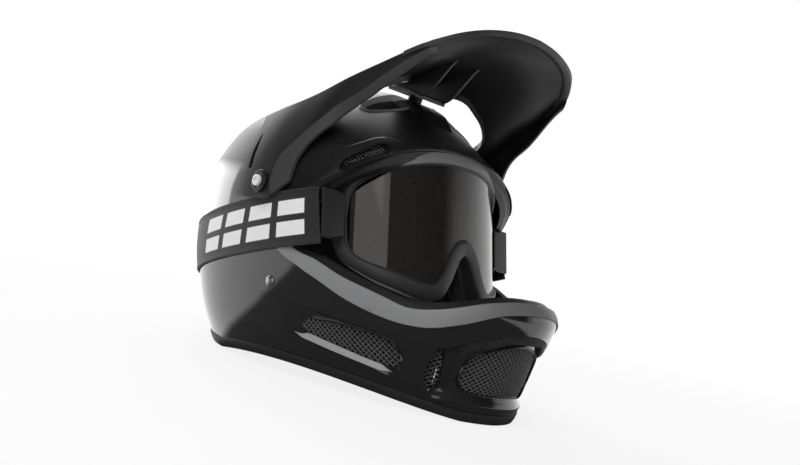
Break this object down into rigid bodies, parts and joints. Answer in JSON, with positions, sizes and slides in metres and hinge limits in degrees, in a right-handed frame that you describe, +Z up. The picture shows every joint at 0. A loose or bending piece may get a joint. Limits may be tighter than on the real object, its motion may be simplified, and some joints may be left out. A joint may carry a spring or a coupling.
{
  "type": "downhill bike full face helmet",
  "caption": "Full face bicycle helmet with chin bar, adjustable visor and vents, worn with strap-on goggles round the outside of the shell.",
  "frame": {"origin": "bottom centre of the bounding box: on the rim's rest plane, midway fore and aft and across", "axes": "+X to the wearer's left, -Y forwards through the eye port, +Z up"},
  "size_m": [0.2568, 0.3647, 0.2824],
  "materials": {
    "shell": "gloss black lacquered composite",
    "visor_black": "satin black moulded plastic",
    "port_trim": "satin dark grey moulded edge",
    "rubber": "soft black edge rubber",
    "liner": "black expanded foam",
    "pad": "brushed knit",
    "net": "dark woven wire net",
    "intake": "satin grey moulded edge",
    "steel": "brushed",
    "chrome": "polished",
    "pivot_head": "bright anodised",
    "washer": "matt black",
    "insert": "black oxide steel",
    "webbing": "woven nylon",
    "snap": "black painted press stud",
    "goggle_frame": "satin dark grey moulding",
    "lens": "clear, lightly brown, glossy",
    "foam": "soft foam",
    "strap": "woven elastic with a printed block pattern",
    "buckle": "satin black"
  },
  "bodies": {
    "helmet": {"outer_shell": "shell", "cranial_liner": "liner", "eye_port_trim": "port_trim", "base_trim": "rubber", "chin_bar_liner": "liner", "cheek_core_right": "liner", "cheek_core_left": "liner", "cheek_pad_right": "pad", "cheek_pad_left": "pad", "crown_pad": "pad", "brow_pad": "pad", "neck_roll": "pad", "chin_center_net": "net", "cheek_net_right": "net", "cheek_net_left": "net", "chin_side_net_right": "net", "chin_side_net_left": "net", "exhaust_net_right": "net", "exhaust_net_left": "net", "brow_net_right": "net", "brow_net_left": "net", "intake_frame_right": "intake", "intake_frame_left": "intake", "visor_inserts": "insert", "center_insert": "insert", "strap_rivets": "steel", "chin_strap_left": "webbing", "chin_strap_right": "webbing", "strap_snap": "snap", "goggle_strap": "strap", "strap_buckle": "buckle"},
    "visor": {"visor": "visor_black", "pivot_washers": "washer"},
    "pivot_screw_right": {"pivot_screw_right": "pivot_head"},
    "pivot_screw_left": {"pivot_screw_left": "pivot_head"},
    "center_screw": {"center_screw": "chrome"},
    "ring_lower": {"d_ring_lower": "steel"},
    "ring_upper": {"d_ring_upper": "steel"},
    "goggles": {"goggle_lens": "lens", "goggle_frame": "goggle_frame", "goggle_foam": "foam", "outrigger_right": "goggle_frame", "outrigger_left": "goggle_frame"}
  },
  "joints": [
    {"name": "visor_tilt", "type": "hinge", "parent": "helmet", "child": "visor", "pos_m": [0, 0.01005, 0.13664], "axis": [1, 0, 0], "range_deg": [-6, 6]},
    {"name": "pivot_screw_right_turn", "type": "hinge", "parent": "helmet", "child": "pivot_screw_right", "pos_m": [-0.12575, 0.01005, 0.13664], "axis": [-1, 0, 0], "continuous": true},
    {"name": "pivot_screw_left_turn", "type": "hinge", "parent": "helmet", "child": "pivot_screw_left", "pos_m": [0.12575, 0.01005, 0.13664], "axis": [1, 0, 0], "continuous": true},
    {"name": "center_screw_turn", "type": "hinge", "parent": "helmet", "child": "center_screw", "pos_m": [0, -0.00712, 0.23927], "axis": [0, -0.165, 0.9863], "continuous": true},
    {"name": "ring_lower_swing", "type": "hinge", "parent": "helmet", "child": "ring_lower", "pos_m": [0.047, -0.01149, 0.01854], "axis": [0, 1, 0], "range_deg": [-40, 2]},
    {"name": "ring_upper_swing", "type": "hinge", "parent": "helmet", "child": "ring_upper", "pos_m": [0.047, -0.01149, 0.02394], "axis": [0, 1, 0], "range_deg": [-2, 50]},
    {"name": "goggles_pull", "type": "slide", "parent": "helmet", "child": "goggles", "axis": [0, -0.9613, -0.2756], "range_m": [0, 0.02], "stiffness_N_per_m": 400, "springref_m": -0.01}
  ]
}
